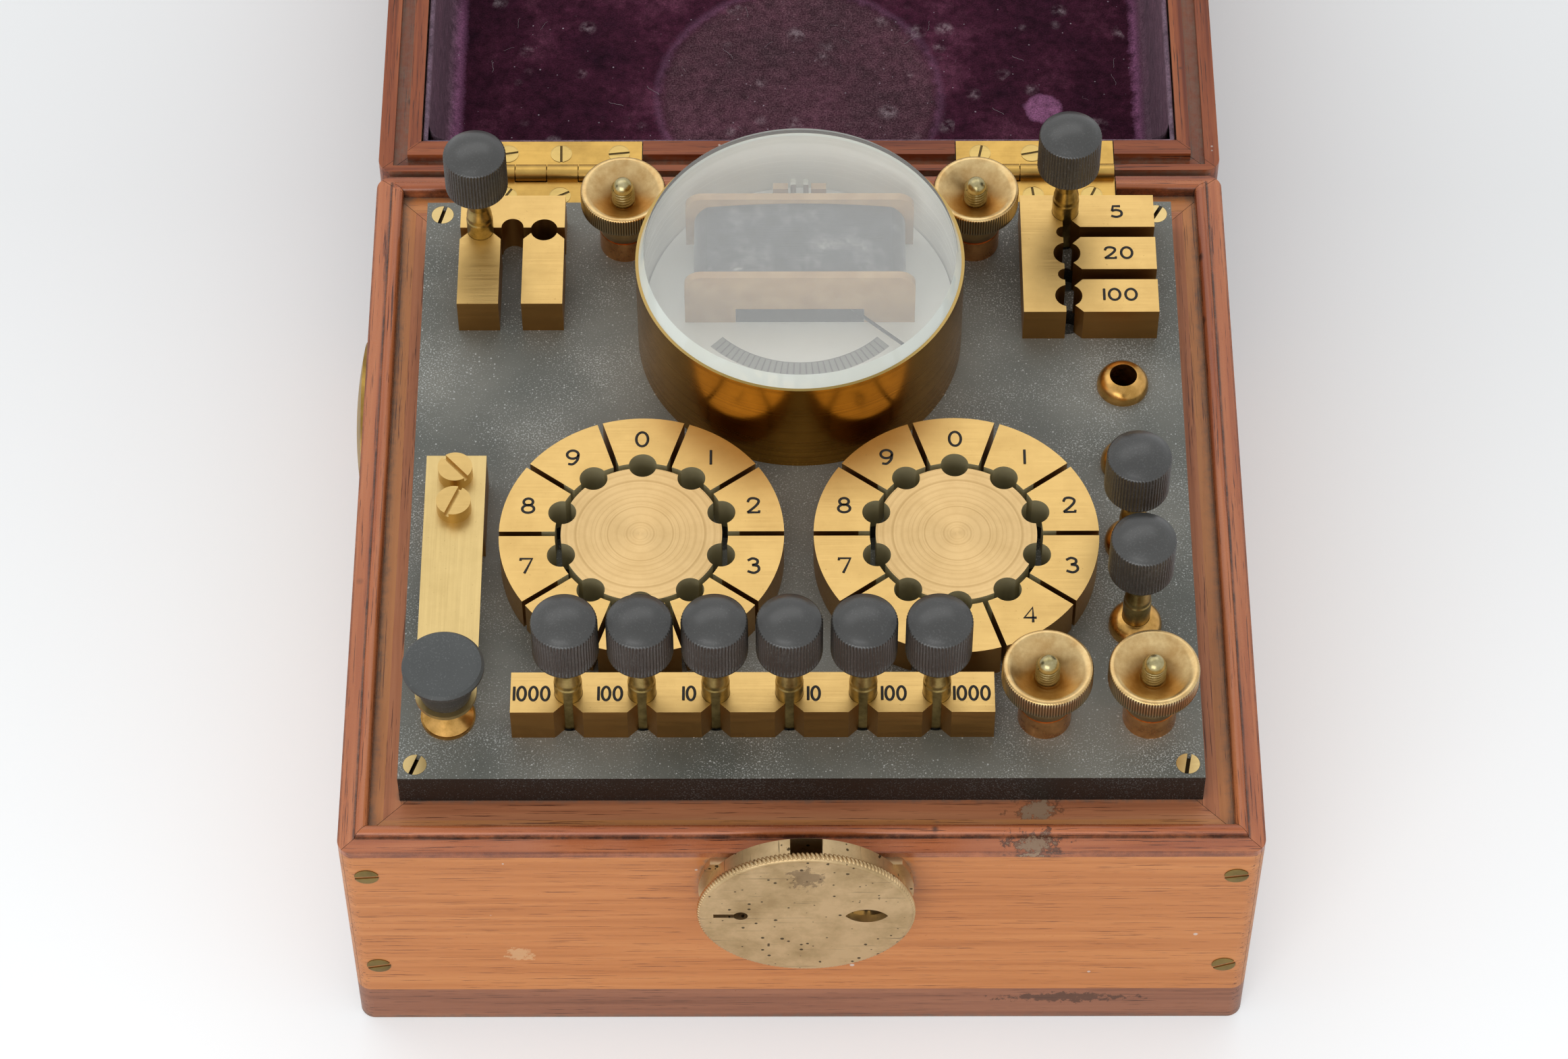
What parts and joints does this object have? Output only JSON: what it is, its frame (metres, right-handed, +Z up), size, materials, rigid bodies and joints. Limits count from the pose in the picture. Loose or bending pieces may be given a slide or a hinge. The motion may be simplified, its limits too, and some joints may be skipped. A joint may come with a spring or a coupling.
{
  "type": "telegraph line test set",
  "caption": "Portable resistance bridge and galvanometer for testing telegraph lines, with plug dials, ratio and shunt brasses, terminals and a key on an ebonite panel in a hinged wooden case.",
  "frame": {"origin": "middle of the underside of the case", "axes": "+X to the right, +Y to the back where the lid lies open, +Z up"},
  "size_m": [0.2068, 0.3958, 0.1211],
  "materials": {
    "case_wood": "french polish",
    "bottom_wood": "french polish",
    "rim_wood": "gloss polish",
    "ledge_wood": "satin",
    "lid_wood": "french polish",
    "ebonite_panel": "matte, dusty",
    "black_ebonite": "satin",
    "screw_brass": "satin",
    "hinge_brass": "satin",
    "lock_brass": "patinated",
    "side_brass": "tarnished",
    "drum_brass": "lacquered",
    "block_brass": "brushed",
    "hub_brass": "turned",
    "strap_brass": "brushed lengthwise",
    "bronze": "turned, satin",
    "pin_brass": "tarnished",
    "silver": "tarnished",
    "blued_steel": "dark",
    "clear_glass": "polished",
    "white_card": "matte",
    "boxwood": "matte",
    "silk": "smooth silk",
    "velvet": "velvet",
    "reel_wood": "waxed"
  },
  "bodies": {
    "case": {"case_walls": "case_wood", "case_bottom": "bottom_wood", "case_rim": "rim_wood", "panel_ledge": "ledge_wood", "panel": "ebonite_panel", "panel_screws": "screw_brass", "hinge_base_leaves": "hinge_brass", "lock_case": "lock_brass", "lock_cover": "lock_brass", "side_plate": "side_brass", "galvo_drum": "drum_brass", "galvo_glass": "clear_glass", "galvo_dial": "white_card", "galvo_frame": "boxwood", "galvo_winding": "silk", "dial_hubs": "hub_brass", "dial_segments": "block_brass", "ratio_blocks": "block_brass", "shunt_blocks": "block_brass", "link_blocks": "block_brass", "terminal_posts": "bronze", "socket_ferrules": "bronze", "key_block": "block_brass", "key_anvil": "bronze", "coil_bobbins": "reel_wood"},
    "lid": {"lid_walls": "lid_wood", "lid_top": "lid_wood", "lid_lining": "velvet", "lid_catch": "lock_brass", "hinge_lid_leaves": "hinge_brass"},
    "key": {"key_strap": "strap_brass", "key_button": "black_ebonite", "key_contact": "silver", "key_screws": "screw_brass"},
    "needle": {"galvo_needle": "blued_steel"},
    "bolt": {"lock_bolt": "screw_brass"},
    "nut_1": {"terminal_nut_1": "bronze"},
    "nut_2": {"terminal_nut_2": "bronze"},
    "nut_3": {"terminal_nut_3": "bronze"},
    "nut_4": {"terminal_nut_4": "bronze"},
    "plug_1": {"plug_pin_1": "pin_brass", "plug_head_1": "black_ebonite"},
    "plug_2": {"plug_pin_2": "pin_brass", "plug_head_2": "black_ebonite"},
    "plug_3": {"plug_pin_3": "pin_brass", "plug_head_3": "black_ebonite"},
    "plug_4": {"plug_pin_4": "pin_brass", "plug_head_4": "black_ebonite"},
    "plug_5": {"plug_pin_5": "pin_brass", "plug_head_5": "black_ebonite"},
    "plug_6": {"plug_pin_6": "pin_brass", "plug_head_6": "black_ebonite"},
    "plug_7": {"plug_pin_7": "pin_brass", "plug_head_7": "black_ebonite"},
    "plug_8": {"plug_pin_8": "pin_brass", "plug_head_8": "black_ebonite"},
    "plug_9": {"plug_pin_9": "pin_brass", "plug_head_9": "black_ebonite"},
    "plug_10": {"plug_pin_10": "pin_brass", "plug_head_10": "black_ebonite"}
  },
  "joints": [
    {"name": "lid_hinge", "type": "hinge", "parent": "case", "child": "lid", "pos_m": [0, 0.09595, 0.07295], "axis": [-1, 0, 0], "range_deg": [-180, 0]},
    {"name": "key_press", "type": "hinge", "parent": "case", "child": "key", "pos_m": [-0.0779, -0.0211, 0.0893], "axis": [1, 0, 0], "range_deg": [0, 1.1], "stiffness_Nm_per_rad": 2, "springref_deg": -0.57},
    {"name": "needle_swing", "type": "hinge", "parent": "case", "child": "needle", "pos_m": [0, 0.0497, 0.0909], "axis": [0, 0, -1], "range_deg": [0, 97]},
    {"name": "bolt_slide", "type": "slide", "parent": "case", "child": "bolt", "axis": [1, 0, 0], "range_m": [-0.006, 0]},
    {"name": "nut_1_turn", "type": "hinge", "parent": "case", "child": "nut_1", "pos_m": [-0.0412, 0.0692, 0.093], "axis": [0, 0, 1], "range_deg": [0, 1080]},
    {"name": "nut_2_turn", "type": "hinge", "parent": "case", "child": "nut_2", "pos_m": [0.0412, 0.0692, 0.093], "axis": [0, 0, 1], "range_deg": [0, 1080]},
    {"name": "nut_3_turn", "type": "hinge", "parent": "case", "child": "nut_3", "pos_m": [0.05365, -0.0643, 0.093], "axis": [0, 0, 1], "range_deg": [0, 1080]},
    {"name": "nut_4_turn", "type": "hinge", "parent": "case", "child": "nut_4", "pos_m": [0.0768, -0.0643, 0.093], "axis": [0, 0, 1], "range_deg": [0, 1080]},
    {"name": "plug_1_pull", "type": "slide", "parent": "case", "child": "plug_1", "axis": [0, 0, 1], "range_m": [0, 0.016]},
    {"name": "plug_2_pull", "type": "slide", "parent": "case", "child": "plug_2", "axis": [0, 0, 1], "range_m": [0, 0.016]},
    {"name": "plug_3_pull", "type": "slide", "parent": "case", "child": "plug_3", "axis": [0, 0, 1], "range_m": [0, 0.016]},
    {"name": "plug_4_pull", "type": "slide", "parent": "case", "child": "plug_4", "axis": [0, 0, 1], "range_m": [0, 0.016]},
    {"name": "plug_5_pull", "type": "slide", "parent": "case", "child": "plug_5", "axis": [0, 0, 1], "range_m": [0, 0.016]},
    {"name": "plug_6_pull", "type": "slide", "parent": "case", "child": "plug_6", "axis": [0, 0, 1], "range_m": [0, 0.016]},
    {"name": "plug_7_pull", "type": "slide", "parent": "case", "child": "plug_7", "axis": [0, 0, 1], "range_m": [0, 0.016]},
    {"name": "plug_8_pull", "type": "slide", "parent": "case", "child": "plug_8", "axis": [0, 0, 1], "range_m": [0, 0.016]},
    {"name": "plug_9_pull", "type": "slide", "parent": "case", "child": "plug_9", "axis": [0, 0, 1], "range_m": [0, 0.016]},
    {"name": "plug_10_pull", "type": "slide", "parent": "case", "child": "plug_10", "axis": [0, 0, 1], "range_m": [0, 0.016]}
  ]
}
